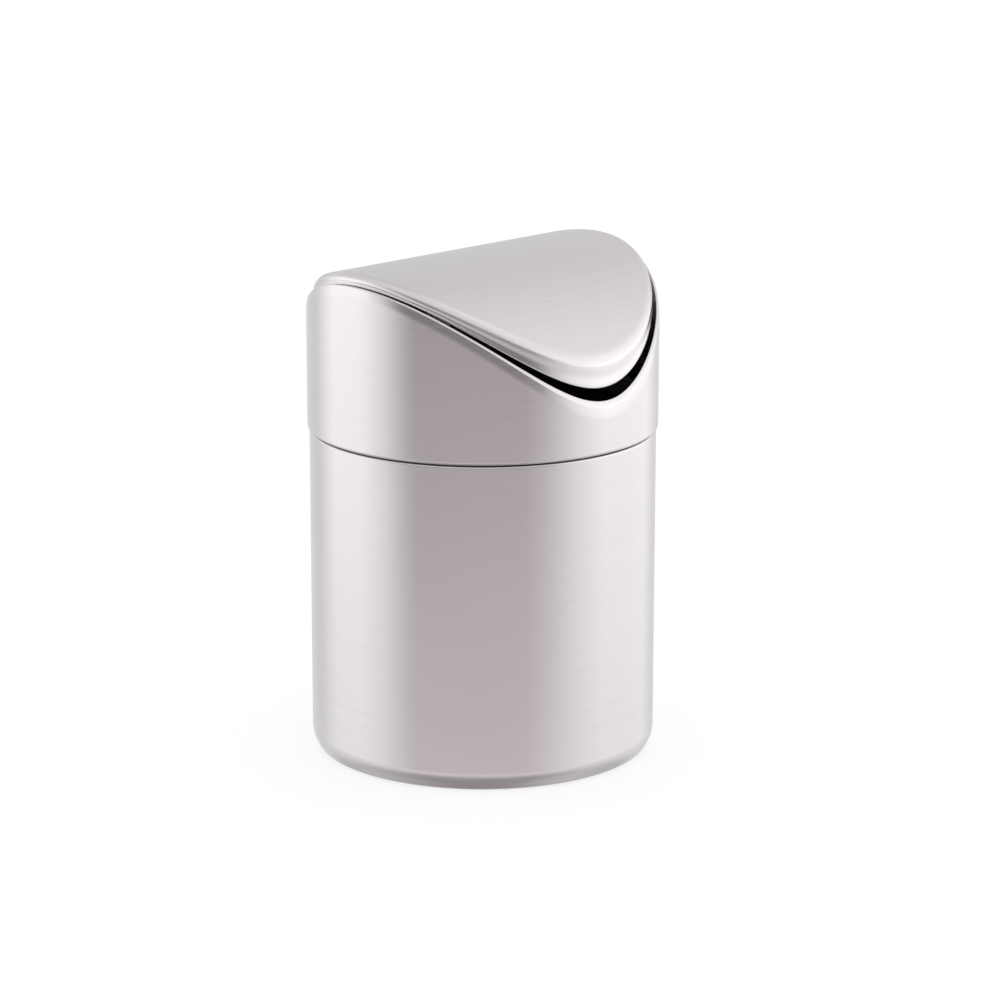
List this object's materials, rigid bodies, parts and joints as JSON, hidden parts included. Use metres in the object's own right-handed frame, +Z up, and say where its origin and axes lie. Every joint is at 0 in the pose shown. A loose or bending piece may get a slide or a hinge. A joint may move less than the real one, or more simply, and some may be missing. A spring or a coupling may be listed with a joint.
{
  "type": "swing-lid trash can",
  "caption": "Small brushed-steel worktop bin with a lift-off cover and a barrel-shaped lid that swings both ways.",
  "frame": {"origin": "centre of the underside, where the base ring rests", "axes": "+Z up, X along the lid's hinge axis, -Y the front"},
  "size_m": [0.12, 0.12, 0.1726],
  "materials": {
    "brushed_stainless": "brushed",
    "black_moulding": "matte",
    "base_rubber": "matte",
    "nylon": "satin",
    "plated_steel": "satin"
  },
  "bodies": {
    "bin": {"bin_body": "brushed_stainless", "base_ring": "base_rubber"},
    "cover": {"cover_shell": "brushed_stainless", "cover_collar": "black_moulding", "pivot_stud_left": "plated_steel", "pivot_stud_right": "plated_steel", "pivot_washers": "nylon", "retaining_clips": "plated_steel"},
    "lid": {"lid_skin": "brushed_stainless", "lid_liner": "black_moulding", "pivot_bush_left": "nylon", "pivot_bush_right": "nylon", "counterweight": "plated_steel", "counterweight_screws": "plated_steel"}
  },
  "joints": [
    {"name": "cover_lift", "type": "slide", "parent": "bin", "child": "cover", "axis": [0, 0, 1], "range_m": [0, 0.04]},
    {"name": "lid_swing", "type": "hinge", "parent": "cover", "child": "lid", "pos_m": [0, 0, 0.162], "axis": [1, 0, 0], "range_deg": [-80, 80]}
  ]
}
